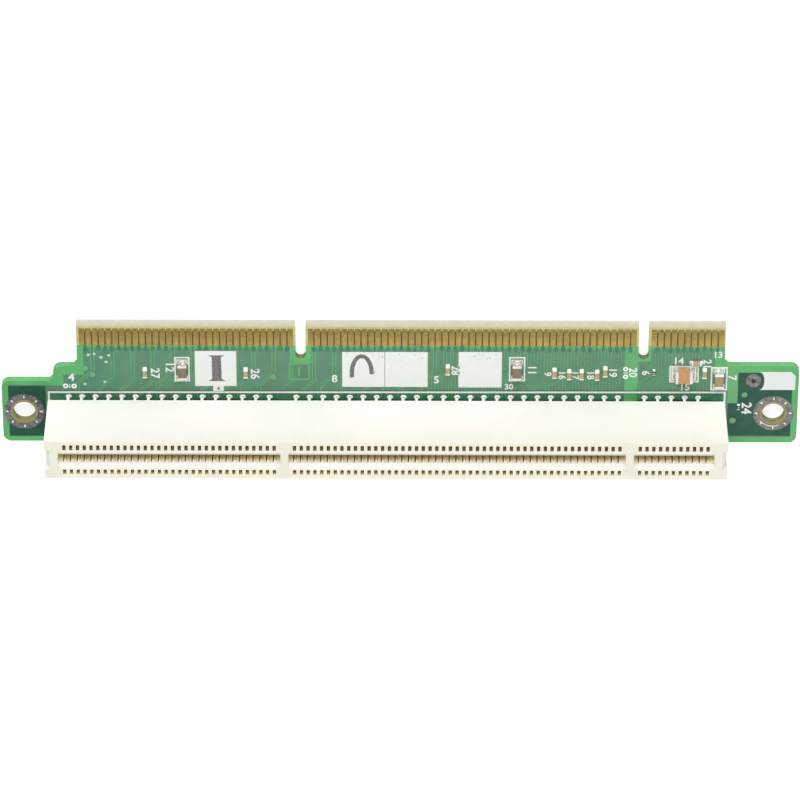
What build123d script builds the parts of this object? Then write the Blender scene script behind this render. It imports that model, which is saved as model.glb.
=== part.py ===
from build123d import *
import os

# Riser card: a slim circuit board with a keyed card edge, and one keyed slot connector on its face.
# Millimetres. The card lies on its back: +Z leaves the board's face, -Y is the card edge that
# plugs into the main board, +X is the end with the stepped tab. Z = 0 is the floor under the tails.

# Contact grid, shared by the card edge and by the slot
pitch = 1.27                    # from one contact to the next
section_counts = (32, 49, 11)   # contacts in each section between the keys
key_pitches = 3                 # pitches from the last contact of a section to the first of the next

# Circuit board
board_thickness = 1.57
board_depth = 26.4              # card edge to rear edge
step_tab_length = 14.45         # tab beside the tongue at +X, which is stepped
plain_tab_length = 14.15        # tab beside the tongue at -X
step_shoulder = 9.7             # card edge to the step beside the tongue at +X
step_length = 4.6               # length of that step along the card
step_tab_shoulder = 13.0        # card edge to the lower part of the stepped tab
plain_shoulder = 9.33           # card edge to the tab at -X
outer_corner_radius = 1.5
inner_corner_cut = 0.7          # across each inner corner
bevel_length = 0.85             # lead-in on both faces of the card edge
bevel_depth = 0.45
notch_width = 1.9               # key notches between the sections
notch_depth = 7.9

# Mounting holes in the tabs
mount_hole_radius = 2.12
mount_hole_inset_step = 4.15    # from the end of the stepped tab
mount_hole_inset_plain = 4.6    # from the end of the plain tab
mount_hole_rear = 6.6           # from the rear edge

# Gold fingers on both faces of the tongue
finger_width = 1.02
finger_length = 3.67
finger_start = 1.34             # from the card edge
finger_thickness = 0.05
first_finger_margin = 0.98      # tongue's end to the first finger's centre
last_finger_margin = 0.77

# Slot connector
connector_offset = 2.85         # slot contacts stand this far towards +X from their fingers
connector_rear = 6.15           # slot's centre line to the board's rear edge
housing_width = 8.15
housing_rise = 16.4             # board's face to the top of the housing
housing_standoff = 1.7          # gap under the housing that shows the outer tails
housing_end = 3.775             # first contact's centre to the end of the housing
standoff_length = 2.4
standoff_width = 5.2
slot_width = 1.8
slot_depth = 8.3
slot_end = 1.25                 # first contact's centre to the end of the slot
key_width = 1.5                 # rib across the slot between sections
lead_in_width = 0.7
lead_in_depth = 0.6
end_ramp_length = 1.0           # sloping notch in each end wall, at the height of the slot
end_ramp_depth = 4.0
end_ramp_width = 4.1

# Contact cavities: one for each contact, open to the window above, to the slot, and below
cavity_width = 0.64
window_inner = 2.15             # from the slot's centre line
window_outer = 3.23
cavity_foot = 3.62              # the outer wall drafts out to this at the bottom
bar_depth = 2.2                 # bar between window and slot, from the top of the housing

# Sprung contacts
contact_width = 0.5
contact_thickness = 0.3
tail_rows = (1.27, 3.81)        # inner and outer tail rows, from the slot's centre line
bump_reach = 0.35               # how far the bump stands into the slot
bump_drop = 2.9                 # below the top of the housing
tip_drop = 0.9
tip_inset = 0.78                # tip stands this far inside the window's outer wall

# Soldered tails on the back of the board
tail_reach = 1.4
solder_radius = 0.75
solder_sides = 3

# Chip parts: (length, width, height), and the width of the metal ends
plain_chip = (3.2, 1.6, 1.25)
wide_chip = (3.2, 2.5, 1.7)
small_chip = (1.6, 0.8, 0.8)
resistor_chip = (1.0, 0.5, 0.35)
chip_end = 0.5
chip_end_skin = 0.06

# Where the chip parts stand: (fingers from the first one, distance from the card edge to the middle)
long_chip_places = ((14.85, 10.45), (64.7, 10.35), (94.8, 12.1))
wide_chip_place = (89.57, 11.0)
small_chip_places = ((9.3, 11.4), (24.3, 11.4), (54.4, 10.6), (70.3, 11.3), (72.5, 11.6),
                     (74.35, 11.6), (76.65, 11.7), (77.85, 10.95), (92.65, 11.25))
small_cross_chip_place = (91.4, 8.6)
resistor_places = ((85.1, 10.75), (97.9, 18.4))

# Worked out from the sizes above
contact_total = sum(section_counts)
last_index = contact_total - 1 + (key_pitches - 1) * (len(section_counts) - 1)
row_span = last_index * pitch
tongue_width = row_span + first_finger_margin + last_finger_margin
board_length = tongue_width + step_tab_length + plain_tab_length
board_end = board_length / 2
card_edge = -board_depth / 2
rear_edge = board_depth / 2
board_back = tail_reach
board_front = board_back + board_thickness
tongue_step_end = board_end - step_tab_length
tongue_plain_end = -board_end + plain_tab_length
first_finger = tongue_step_end - first_finger_margin
first_contact = first_finger + connector_offset
connector_middle = first_contact - row_span / 2
slot_line = rear_edge - connector_rear
housing_foot = board_front + housing_standoff
housing_top = board_front + housing_rise
slot_floor = housing_top - slot_depth
slot_half = slot_width / 2


def section_indices():
    """Grid positions of the contacts, one list for each section."""
    sections, start = [], 0
    for count in section_counts:
        sections.append(list(range(start, start + count)))
        start += count - 1 + key_pitches
    return sections


def all_indices():
    return [index for section in section_indices() for index in section]


def finger_x(index):
    return first_finger - index * pitch


def contact_x(index):
    return first_contact - index * pitch


def key_indices():
    """Grid positions of the keys, half way between two sections."""
    sections = section_indices()
    return [(left[-1] + right[0]) / 2 for left, right in zip(sections, sections[1:])]


def save(piece, label):
    piece.label = label
    export_step(piece, f"parts/{label}.step")


def make_board():
    outer_corners = [
        (board_end, rear_edge),
        (board_end, card_edge + step_tab_shoulder),
        (tongue_step_end + step_length, card_edge + step_shoulder),
        (-board_end, card_edge + plain_shoulder),
        (-board_end, rear_edge),
    ]
    inner_corners = [
        (tongue_step_end + step_length, card_edge + step_tab_shoulder),
        (tongue_step_end, card_edge + step_shoulder),
        (tongue_plain_end, card_edge + plain_shoulder),
    ]
    outline = [
        outer_corners[0], outer_corners[1], inner_corners[0], outer_corners[2], inner_corners[1],
        (tongue_step_end, card_edge), (tongue_plain_end, card_edge),
        inner_corners[2], outer_corners[3], outer_corners[4],
    ]

    def corner_vertices(sketch, corners):
        return [vertex for vertex in sketch.vertices()
                if any((Vector(vertex) - Vector(x, y)).length < 0.01 for x, y in corners)]

    with BuildPart() as board:
        with BuildSketch(Plane.XY.offset(board_back)) as plan:
            with BuildLine():
                Polyline(*outline, close=True)
            make_face()
            fillet(corner_vertices(plan.sketch_local, outer_corners), radius=outer_corner_radius)
            chamfer(corner_vertices(plan.sketch_local, inner_corners), length=inner_corner_cut)
            for index in key_indices():
                with Locations((finger_x(index), card_edge)):
                    Rectangle(notch_width, 2 * (notch_depth - notch_width / 2), mode=Mode.SUBTRACT)
                with Locations((finger_x(index), card_edge + notch_depth - notch_width / 2)):
                    Circle(notch_width / 2, mode=Mode.SUBTRACT)
            with Locations((board_end - mount_hole_inset_step, rear_edge - mount_hole_rear),
                           (-board_end + mount_hole_inset_plain, rear_edge - mount_hole_rear)):
                Circle(mount_hole_radius, mode=Mode.SUBTRACT)
        extrude(amount=board_thickness)
        for face_z, into in ((board_front, -1), (board_back, 1)):
            with BuildSketch(Plane.YZ):
                with BuildLine():
                    Polyline((card_edge, face_z), (card_edge + bevel_length, face_z),
                             (card_edge, face_z + into * bevel_depth), close=True)
                make_face()
            extrude(amount=board_end, both=True, mode=Mode.SUBTRACT)
    return board.part


def make_fingers(indices, face_z, outward):
    """One section of gold fingers: thin pads side by side on one face of the tongue."""
    middle_y = card_edge + finger_start + finger_length / 2
    with BuildPart() as fingers:
        with BuildSketch(Plane.XY.offset(face_z)):
            with Locations(*[(finger_x(index), middle_y) for index in indices]):
                Rectangle(finger_width, finger_length)
        extrude(amount=outward * finger_thickness)
    return fingers.part


def make_housing():
    housing_length = row_span + 2 * housing_end
    lead_half = slot_half + lead_in_width
    cavity_planes = [Plane.YZ.offset(contact_x(index)) for index in all_indices()]
    foot_places = [connector_middle + side * (housing_length - standoff_length) / 2
                   for side in (-1, 1)] + [contact_x(index) for index in key_indices()]

    with BuildPart() as housing:
        with BuildSketch(Plane.XY.offset(housing_foot)):
            with Locations((connector_middle, slot_line)):
                Rectangle(housing_length, housing_width)
        extrude(amount=housing_top - housing_foot)

        # Feet that hold the housing off the board
        with BuildSketch(Plane.XY.offset(board_front)):
            with Locations(*[(x, slot_line) for x in foot_places]):
                Rectangle(standoff_length, standoff_width)
        extrude(amount=housing_standoff)

        # Slot with its lead-in, one stretch for each section, so that the keys stay across it
        stretches = section_indices()
        for number, section in enumerate(stretches):
            high_end = contact_x(section[0]) + slot_end
            low_end = contact_x(section[-1]) - slot_end
            if number > 0:
                high_end = contact_x(key_indices()[number - 1]) - key_width / 2
            if number < len(stretches) - 1:
                low_end = contact_x(key_indices()[number]) + key_width / 2
            with BuildSketch(Plane.YZ.offset(low_end)):
                with BuildLine():
                    Polyline((slot_line - lead_half, housing_top),
                             (slot_line - slot_half, housing_top - lead_in_depth),
                             (slot_line - slot_half, slot_floor),
                             (slot_line + slot_half, slot_floor),
                             (slot_line + slot_half, housing_top - lead_in_depth),
                             (slot_line + lead_half, housing_top), close=True)
                make_face()
            extrude(amount=high_end - low_end, mode=Mode.SUBTRACT)

        # Contact cavities in pairs: windows at the top, a bar between window and slot, then open
        # to the slot, and open at the bottom where the contacts are loaded
        with BuildSketch(*cavity_planes):
            with BuildLine():
                Polyline((slot_line + window_inner, housing_top),
                         (slot_line + window_outer, housing_top),
                         (slot_line + cavity_foot, housing_foot),
                         (slot_line - cavity_foot, housing_foot),
                         (slot_line - window_outer, housing_top),
                         (slot_line - window_inner, housing_top),
                         (slot_line - slot_half, housing_top - bar_depth),
                         (slot_line - slot_half, slot_floor),
                         (slot_line + slot_half, slot_floor),
                         (slot_line + slot_half, housing_top - bar_depth), close=True)
            make_face()
        extrude(amount=cavity_width / 2, both=True, mode=Mode.SUBTRACT)

        # Sloping notch in each end wall
        for side in (-1, 1):
            end_x = connector_middle + side * housing_length / 2
            with BuildSketch(Plane.XZ.offset(-slot_line)):
                with BuildLine():
                    Polyline((end_x, housing_top), (end_x - side * end_ramp_length, housing_top),
                             (end_x, housing_top - end_ramp_depth), close=True)
                make_face()
            extrude(amount=end_ramp_width / 2, both=True, mode=Mode.SUBTRACT)
    return housing.part


def make_contacts(indices, side, tail_row):
    """A row of sprung contacts: tail on the board, arm leaning to the slot, bump, turned-back tip."""
    half = contact_thickness / 2
    bump_z = housing_top - bump_drop
    bump_y = slot_half - bump_reach
    tip_y = window_outer - tip_inset
    profile = [
        (tail_row - half, board_front), (tail_row + half, board_front),
        (bump_y + contact_thickness, bump_z), (tip_y, housing_top - tip_drop), (bump_y, bump_z),
    ]
    planes = [Plane.YZ.offset(contact_x(index)) for index in indices]
    with BuildPart() as contacts:
        with BuildSketch(*planes):
            with BuildLine():
                Polyline(*[(slot_line + side * y, z) for y, z in profile], close=True)
            make_face()
        extrude(amount=contact_width / 2, both=True)
    return contacts.part


def make_solder_spike():
    """The soldered end of one tail, with few faces because there are so many."""
    with BuildPart() as spike:
        with BuildSketch(Plane.XY.offset(board_back)) as base:
            RegularPolygon(radius=solder_radius, side_count=solder_sides)
        loft(sections=[base.sketch, Vertex(0, 0, board_back - tail_reach)])
    return spike.part


def make_solder_row(spike, indices, side, tail_row):
    """One row of soldered tails on the back of the board, each under its contact."""
    with BuildPart() as row:
        with Locations(*[(contact_x(index), slot_line + side * tail_row) for index in indices]):
            add(spike)
    return row.part


def chip_body(size, place, across=False):
    """A chip part's body between its metal ends; across turns it along the card."""
    length, width, height = size
    index, from_edge = place
    inner = length - 2 * chip_end
    plan = (inner, width) if across else (width, inner)
    with BuildPart() as body:
        with BuildSketch(Plane.XY.offset(board_front)):
            with Locations((finger_x(index), card_edge + from_edge)):
                Rectangle(*plan)
        extrude(amount=height)
    return body.part


def chip_ends(size, place, across=False):
    """The two metal ends of a chip part, a skin's thickness proud of its body."""
    length, width, height = size
    index, from_edge = place
    reach = (length - chip_end) / 2
    wide = width + 2 * chip_end_skin
    plan = (chip_end, wide) if across else (wide, chip_end)
    with BuildPart() as ends:
        with BuildSketch(Plane.XY.offset(board_front)):
            for side in (-1, 1):
                shift = (side * reach, 0) if across else (0, side * reach)
                with Locations((finger_x(index) + shift[0], card_edge + from_edge + shift[1])):
                    Rectangle(*plan)
        extrude(amount=height + chip_end_skin)
    return ends.part


def make_small_chips(size, places, cross_places=()):
    """Small chip parts of one kind, each a plain body of its whole length."""
    length, width, height = size
    with BuildPart() as chips:
        with BuildSketch(Plane.XY.offset(board_front)):
            with Locations(*[(finger_x(index), card_edge + y) for index, y in places]):
                Rectangle(width, length)
            if cross_places:
                with Locations(*[(finger_x(index), card_edge + y) for index, y in cross_places]):
                    Rectangle(length, width)
        extrude(amount=height)
    return chips.part


os.makedirs("parts", exist_ok=True)

save(make_board(), "circuit_board")
save(make_housing(), "connector_housing")

for letter, section in zip("abc", section_indices()):
    save(make_fingers(section, board_front, 1), f"front_fingers_{letter}")
    save(make_fingers(section, board_back, -1), f"back_fingers_{letter}")

# Tail rows are staggered: inner and outer tails take turns along each side, and the two sides too
even = [index for index in all_indices() if index % 2 == 0]
odd = [index for index in all_indices() if index % 2 == 1]
inner_row, outer_row = tail_rows
spike = make_solder_spike()
for side_name, side, outer, inner in (("edge_side", -1, even, odd), ("rear_side", 1, odd, even)):
    for row_name, row, indices in (("outer", outer_row, outer), ("inner", inner_row, inner)):
        save(make_contacts(indices, side, row), f"{side_name}_{row_name}_contacts")
        save(make_solder_row(spike, indices, side, row), f"{side_name}_{row_name}_solder")

for number, place in enumerate(long_chip_places, start=1):
    save(chip_body(plain_chip, place), f"capacitor_{number}_body")
    save(chip_ends(plain_chip, place), f"capacitor_{number}_ends")
save(chip_body(wide_chip, wide_chip_place, across=True), "wide_capacitor_body")
save(chip_ends(wide_chip, wide_chip_place, across=True), "wide_capacitor_ends")
save(make_small_chips(small_chip, small_chip_places, (small_cross_chip_place,)), "small_capacitors")
save(make_small_chips(resistor_chip, resistor_places), "small_resistors")
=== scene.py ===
# %% [markdown]
# # A riser card, dressed for its picture
# The card is a slim green circuit board. One long side is a keyed card edge with gold fingers, and a
# long ivory slot connector stands on its face. The solid model comes in as plain shapes. This script
# gives them finishes, and adds what is too fine or too thin for the solids: printed and plated
# layers, formed contacts, solder and chip parts. Everything is worked out in millimetres.

# %% Load the solid model
import math
import random
import bmesh
import bpy
from mathutils import Matrix, Vector


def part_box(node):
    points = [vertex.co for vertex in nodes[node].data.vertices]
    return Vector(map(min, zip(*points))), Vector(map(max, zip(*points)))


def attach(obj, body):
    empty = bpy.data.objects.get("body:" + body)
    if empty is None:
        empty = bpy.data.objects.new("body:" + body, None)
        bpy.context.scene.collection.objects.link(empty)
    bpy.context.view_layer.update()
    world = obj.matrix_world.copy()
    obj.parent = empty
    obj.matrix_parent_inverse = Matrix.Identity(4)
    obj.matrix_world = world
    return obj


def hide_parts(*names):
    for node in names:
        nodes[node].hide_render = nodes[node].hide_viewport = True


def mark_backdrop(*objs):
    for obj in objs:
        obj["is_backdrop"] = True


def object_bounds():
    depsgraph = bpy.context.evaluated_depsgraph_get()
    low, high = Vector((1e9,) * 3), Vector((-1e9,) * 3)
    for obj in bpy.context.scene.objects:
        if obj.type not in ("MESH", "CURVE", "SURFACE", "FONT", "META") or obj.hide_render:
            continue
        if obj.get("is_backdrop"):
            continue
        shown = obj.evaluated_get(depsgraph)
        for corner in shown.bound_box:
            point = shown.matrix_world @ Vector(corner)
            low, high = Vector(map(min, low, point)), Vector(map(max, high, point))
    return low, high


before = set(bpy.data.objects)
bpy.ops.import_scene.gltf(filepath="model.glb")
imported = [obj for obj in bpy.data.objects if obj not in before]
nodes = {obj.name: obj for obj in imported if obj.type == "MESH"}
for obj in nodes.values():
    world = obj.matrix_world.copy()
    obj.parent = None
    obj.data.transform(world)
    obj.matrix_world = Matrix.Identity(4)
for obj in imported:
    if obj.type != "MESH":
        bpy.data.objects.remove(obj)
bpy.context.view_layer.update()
MM = 0.001
print("solid model:", len(nodes), "nodes")

# %% [markdown]
# ## The camera comes first
# The picture looks down on the card from the side of its gold edge, 32 degrees off the board's
# normal and about a metre away, with a long lens. The gold edge is at the top of the picture, so the
# camera is rolled half a turn. Writing its three axes as a matrix makes that roll exact. The last
# tenth of a degree of roll is the card's own small turn on its table.

# %% Place the camera
scene = bpy.context.scene
scene.view_settings.view_transform = "Standard"


def add_object(name, data):
    """A new object, linked to the scene."""
    made = bpy.data.objects.new(name, data)
    scene.collection.objects.link(made)
    return made


TILT = math.radians(32)
DISTANCE = 1.050
LENS = 249.04
SENSOR = 36.0
EXTRA_ROLL = 0.00236
look_at = Vector((0, 3.866, 2.97)) * MM

backwards = Vector((0, -math.sin(TILT), math.cos(TILT)))
up = Vector((0, -math.cos(TILT), -math.sin(TILT)))
right = up.cross(backwards)
rolled_right = right * math.cos(EXTRA_ROLL) + up * math.sin(EXTRA_ROLL)
rolled_up = backwards.cross(rolled_right)
camera = add_object("camera", bpy.data.cameras.new("camera"))
camera.data.sensor_width = SENSOR
camera.data.lens = LENS
camera.data.clip_start = 0.05
camera.data.clip_end = 20
turn = Matrix((rolled_right, rolled_up, backwards)).transposed().to_4x4()
camera.matrix_world = Matrix.Translation(look_at + backwards * DISTANCE) @ turn
scene.camera = camera
print("camera at", [round(value, 3) for value in camera.location])

# %% [markdown]
# ## Measure the solid model
# Later pieces have to sit exactly on the board, the housing and the contacts. Their places are read
# from the solids' boxes, so nothing has to be typed twice. A box doesn't tell everything: the width
# of a slot, the standoff under the housing, the depth of a notch and the like are named here once.
# The contact grid has a standard pitch of 1.27 mm. It has sections of 32, 49 and 11 contacts, with
# three pitches across each key. A contact's place is its step, counted in pitches from the first.

# %% Read the places that everything hangs on
def box_mm(node):
    low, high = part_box(node)
    return low / MM, high / MM


PITCH = 1.27
SECTIONS = (32, 49, 11)
KEY_PITCHES = 3
CONTACT_WIDTH = 0.5
SLOT_HALF = 0.9
STANDOFF = 1.7
TAIL_ROWS = {"inner": 1.27, "outer": 3.81}
NOTCH_DEPTH = 7.9
board_low, board_high = box_mm("circuit_board")
housing_low, housing_high = box_mm("connector_housing")
finger_low, finger_high = box_mm("front_fingers_c")
FRONT = board_high.z
BACK = board_low.z
FINGER_WIDTH = finger_high.x - finger_low.x - (SECTIONS[2] - 1) * PITCH
FINGER_START = finger_low.y
FINGER_END = finger_high.y
FIRST_FINGER = box_mm("front_fingers_a")[1].x - FINGER_WIDTH / 2
FIRST_CONTACT = box_mm("edge_side_outer_contacts")[1].x - CONTACT_WIDTH / 2
SLOT_LINE = (housing_low.y + housing_high.y) / 2
TOP = housing_high.z
print("board", [round(v, 2) for v in board_low], [round(v, 2) for v in board_high])
print("first finger", round(FIRST_FINGER, 3), "first contact", round(FIRST_CONTACT, 3))


def section_steps():
    """The steps of each section, with a key's width left out between them."""
    steps, start = [], 0
    for count in SECTIONS:
        steps.append(list(range(start, start + count)))
        start += count - 1 + KEY_PITCHES
    return steps


def finger_x(step):
    return FIRST_FINGER - step * PITCH


def contact_x(step):
    return FIRST_CONTACT - step * PITCH


sections = section_steps()
all_steps = [step for section in sections for step in section]
key_steps = [(before[-1] + after[0]) / 2 for before, after in zip(sections, sections[1:])]
print(len(all_steps), "contacts a side, keys at steps", key_steps)

# %% [markdown]
# ## Shader groups for effects that several finishes share
# Nothing on a used card is one flat colour. Three effects come back in most of its materials. The
# first is a soft mottle, where a colour drifts a little lighter and darker. The second is a fine
# grain that shows as tiny bumps. The third is rubbing, thin scratches that run one way. Each is
# built once as a node group with named inputs, and each material sets its own values.

# %% Helpers for shader trees
def srgb(red, green, blue):
    """A colour as seen on screen, 0 to 255, in the renderer's linear values."""
    def linear(value):
        value = value / 255
        return value / 12.92 if value <= 0.04045 else ((value + 0.055) / 1.055) ** 2.4
    return (linear(red), linear(green), linear(blue), 1.0)


def node(tree, kind, settings=None, **inputs):
    """Adds a node; inputs are socket values or sockets to link, named as on the node."""
    made = tree.nodes.new(kind)
    for name, value in (settings or {}).items():
        setattr(made, name, value)
    for name, value in inputs.items():
        socket = made.inputs[int(name[1:])] if name[0] == "_" else made.inputs[name.replace("_", " ")]
        if isinstance(value, bpy.types.NodeSocket):
            tree.links.new(value, socket)
        else:
            socket.default_value = value
    return made


def maths(tree, operation, *values):
    """One step of arithmetic on numbers or sockets."""
    return node(tree, "ShaderNodeMath", {"operation": operation},
                **{f"_{place}": value for place, value in enumerate(values)}).outputs[0]


def new_tree(title, inputs, outputs, tree_kind="ShaderNodeTree"):
    """An empty node group with its sockets; returns the tree, its input node and its output node."""
    tree = bpy.data.node_groups.new(title, tree_kind)
    for name, kind, value in inputs:
        socket = tree.interface.new_socket(name, in_out="INPUT", socket_type=kind)
        if value is not None:
            socket.default_value = value
    for name, kind in outputs:
        tree.interface.new_socket(name, in_out="OUTPUT", socket_type=kind)
    return tree, tree.nodes.new("NodeGroupInput"), tree.nodes.new("NodeGroupOutput")


FLOAT, COLOR, VECTOR = "NodeSocketFloat", "NodeSocketColor", "NodeSocketVector"
MATERIAL, GEOMETRY = "NodeSocketMaterial", "NodeSocketGeometry"

# %% Mottle: a colour that drifts lighter and darker
mottle, entry, leave = new_tree(
    "soft mottle",
    (("Place", VECTOR, None), ("Color", COLOR, (0.5, 0.5, 0.5, 1)), ("Patch size", FLOAT, 500.0),
     ("Strength", FLOAT, 0.15)),
    (("Color", COLOR), ("Mask", FLOAT)))
broad = node(mottle, "ShaderNodeTexNoise", Vector=entry.outputs["Place"], Scale=entry.outputs["Patch size"],
             Detail=3.0)
swing = node(mottle, "ShaderNodeMapRange", _0=broad.outputs["Fac"], _1=0.3, _2=0.7, _3=-1.0, _4=1.0)
amount = maths(mottle, "MULTIPLY_ADD", swing.outputs[0], entry.outputs["Strength"], 1.0)
shaded = node(mottle, "ShaderNodeVectorMath", {"operation": "SCALE"}, _0=entry.outputs["Color"],
              Scale=amount)
mottle.links.new(shaded.outputs[0], leave.inputs["Color"])
mottle.links.new(broad.outputs["Fac"], leave.inputs["Mask"])
print("group:", mottle.name)

# %% Grain: fine bumps, as on moulded plastic or plated metal
grain, entry, leave = new_tree(
    "fine grain",
    (("Place", VECTOR, None), ("Grain size", FLOAT, 6000.0), ("Unevenness", FLOAT, 0.5)),
    (("Height", FLOAT), ("Mask", FLOAT)))
small = node(grain, "ShaderNodeTexNoise", Vector=entry.outputs["Place"], Scale=entry.outputs["Grain size"],
             Detail=4.0)
wide = node(grain, "ShaderNodeTexNoise", Vector=entry.outputs["Place"], Scale=700.0, Detail=1.0)
both = maths(grain, "MULTIPLY_ADD", wide.outputs["Fac"], entry.outputs["Unevenness"], small.outputs["Fac"])
grain.links.new(both, leave.inputs["Height"])
grain.links.new(small.outputs["Fac"], leave.inputs["Mask"])
print("group:", grain.name)

# %% Rubbing: thin scratches along one direction, and the mask that tells where they are
rubbing, entry, leave = new_tree(
    "rubbing",
    (("Place", VECTOR, None), ("Stretch", VECTOR, (1.0, 0.04, 1.0)), ("Line size", FLOAT, 9000.0),
     ("Amount", FLOAT, 0.4)),
    (("Mask", FLOAT),))
drawn = node(rubbing, "ShaderNodeVectorMath", {"operation": "MULTIPLY"}, _0=entry.outputs["Place"],
             _1=entry.outputs["Stretch"])
lines = node(rubbing, "ShaderNodeTexNoise", Vector=drawn.outputs[0], Scale=entry.outputs["Line size"],
             Detail=2.0)
patches = node(rubbing, "ShaderNodeTexNoise", Vector=entry.outputs["Place"], Scale=900.0, Detail=2.0)
sharp = node(rubbing, "ShaderNodeMapRange", _0=lines.outputs["Fac"], _1=0.52, _2=0.70)
where = node(rubbing, "ShaderNodeMapRange", _0=patches.outputs["Fac"], _1=0.40, _2=0.62)
mask = maths(rubbing, "MULTIPLY", sharp.outputs[0], where.outputs[0])
scaled = node(rubbing, "ShaderNodeMath", {"operation": "MULTIPLY", "use_clamp": True}, _0=mask,
              _1=entry.outputs["Amount"])
rubbing.links.new(scaled.outputs[0], leave.inputs["Mask"])
print("group:", rubbing.name)

# %% [markdown]
# ## One recipe for the finishes
# Most finishes here differ only in a handful of numbers: a colour, how much it drifts, how rough it
# is, how metallic, and how strong its grain is. So one function wires the groups into a Principled
# shader and each finish is one call. Patterns read Object coordinates, because every piece keeps its
# place in its own mesh. Constant values go straight onto the shader's sockets. The three finishes
# with a recipe of their own, further down, start with the same small helpers.

# %% The recipe
BUMP_HEIGHT = 0.00003
ROUGH_SWING = 0.07


def group_node(tree, group, **inputs):
    return node(tree, "ShaderNodeGroup", {"node_tree": group}, **inputs)


def start_material(name):
    """A new material, its tree, its shader and the Object coordinates."""
    material = bpy.data.materials.new(name)
    material.use_nodes = True
    tree = material.node_tree
    place = tree.nodes.new("ShaderNodeTexCoord").outputs["Object"]
    return material, tree, tree.nodes["Principled BSDF"], place


def tone(tree, place, color, patch, strength):
    """One mottled colour."""
    mottled = group_node(tree, mottle, Place=place, Color=color, Patch_size=patch, Strength=strength)
    return mottled.outputs["Color"]


def add_grain(tree, shader, place, size, bump, rough=None):
    """Fine bumps, and a roughness that varies with them between two values where given."""
    grains = group_node(tree, grain, Place=place, Grain_size=size)
    relief = node(tree, "ShaderNodeBump", Strength=bump, Distance=BUMP_HEIGHT,
                  Height=grains.outputs["Height"])
    tree.links.new(relief.outputs["Normal"], shader.inputs["Normal"])
    if rough:
        uneven = node(tree, "ShaderNodeMapRange", _0=grains.outputs["Mask"], _1=0.3, _2=0.7, _3=rough[0],
                      _4=rough[1])
        tree.links.new(uneven.outputs[0], shader.inputs["Roughness"])


def finish(name, color, rough, metallic=0.0, drift=0.10, patch=500.0, bump=0.05, grain_size=6000.0,
           scratched=0.0, scratch_color=None, coat=0.0, specular=0.5, along=(1.0, 0.04, 1.0)):
    """A finish with mottled colour, fine grain, and scratches where asked."""
    material, tree, shader, place = start_material(name)
    color_out = tone(tree, place, color, patch, drift)
    if scratched:
        rub = group_node(tree, rubbing, Place=place, Amount=scratched, Stretch=along)
        mix = node(tree, "ShaderNodeMix", {"data_type": "RGBA"}, _0=rub.outputs["Mask"], _6=color_out,
                   _7=scratch_color)
        color_out = mix.outputs[2]
    tree.links.new(color_out, shader.inputs["Base Color"])
    add_grain(tree, shader, place, grain_size, bump, (max(rough - ROUGH_SWING, 0.02), rough + ROUGH_SWING))
    shader.inputs["Metallic"].default_value = metallic
    shader.inputs["Coat Weight"].default_value = coat
    shader.inputs["Specular IOR Level"].default_value = specular
    return material


mask_bare = finish("mask over laminate", srgb(90, 172, 104), 0.38, coat=0.25, drift=0.08, patch=260.0)
mask_copper = finish("mask over copper", srgb(81, 132, 102), 0.36, coat=0.25, drift=0.10, patch=300.0)
mask_dark = finish("mask over a full plane", srgb(28, 82, 60), 0.40, coat=0.08, drift=0.22, patch=450.0,
                   specular=0.3)
mask_strip = finish("mask under the connector", srgb(62, 128, 92), 0.38, coat=0.2, drift=0.14, patch=450.0)
mask_teal = finish("mask beside a finger foot", srgb(44, 120, 86), 0.38, coat=0.2, drift=0.25, patch=900.0)
mask_shade = finish("mask at an ink line", srgb(58, 96, 76), 0.5, drift=0.2, patch=700.0)
mask_deep = finish("mask in the connector's shade", srgb(56, 72, 52), 0.6, drift=0.3, patch=1200.0)
mask_end = finish("mask over two planes", srgb(70, 132, 102), 0.36, coat=0.25, drift=0.10, patch=400.0)
mask_trace = finish("mask over a trace", srgb(98, 164, 114), 0.36, coat=0.25, drift=0.10, patch=500.0)
ink = finish("white ink", srgb(233, 236, 232), 0.62, drift=0.015, patch=900.0, bump=0.12)
stamp_ink = finish("stamped ink", srgb(118, 112, 116), 0.7, drift=0.45, patch=2600.0, bump=0.1)
spring_gold = finish("gold flash on spring alloy", srgb(240, 224, 168), 0.45, metallic=0.1, drift=0.16,
                     patch=1400.0, scratched=0.3, scratch_color=srgb(160, 130, 76),
                     along=(1.0, 1.0, 0.05))
tin = finish("tin plate", srgb(114, 112, 111), 0.36, metallic=0.5, drift=0.45, patch=1500.0, bump=0.2,
             scratched=0.7, scratch_color=srgb(196, 194, 190), along=(1.0, 0.3, 1.0))
solder = finish("bright solder", srgb(232, 230, 226), 0.24, metallic=0.55, drift=0.08, patch=1800.0)
white_tin = finish("white tin", srgb(250, 250, 246), 0.34, drift=0.05, patch=1800.0)
creased_tin = finish("creased solder", srgb(214, 210, 206), 0.26, metallic=0.35, drift=0.55, patch=2600.0,
                     bump=0.5, grain_size=2600.0)
via_tin = finish("tin seen in a via", srgb(196, 226, 206), 0.4, drift=0.10, patch=1800.0)
grey_tin = finish("grey tin", srgb(110, 112, 104), 0.50, drift=0.20, patch=2200.0)
# painted shade: the brown patch behind each collar on the front
shade_brown = finish("painted shade behind a collar", srgb(104, 78, 60), 0.4, drift=0.3, patch=1500.0)
# painted shade: the dark disc in the earthing pad's hole
hole_shade = finish("painted hole shade", srgb(48, 44, 50), 0.6, drift=0.2, patch=2200.0)
ceramic = finish("brown ceramic", srgb(128, 116, 94), 0.5, drift=0.14, patch=1500.0)
ceramic_khaki = finish("khaki ceramic", srgb(157, 145, 100), 0.5, drift=0.16, patch=1200.0)
ceramic_warm = finish("orange brown ceramic", srgb(198, 148, 105), 0.5, drift=0.10, patch=1500.0)
ceramic_pale = finish("pale ceramic", srgb(186, 160, 122), 0.5, drift=0.10, patch=1500.0)
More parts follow.
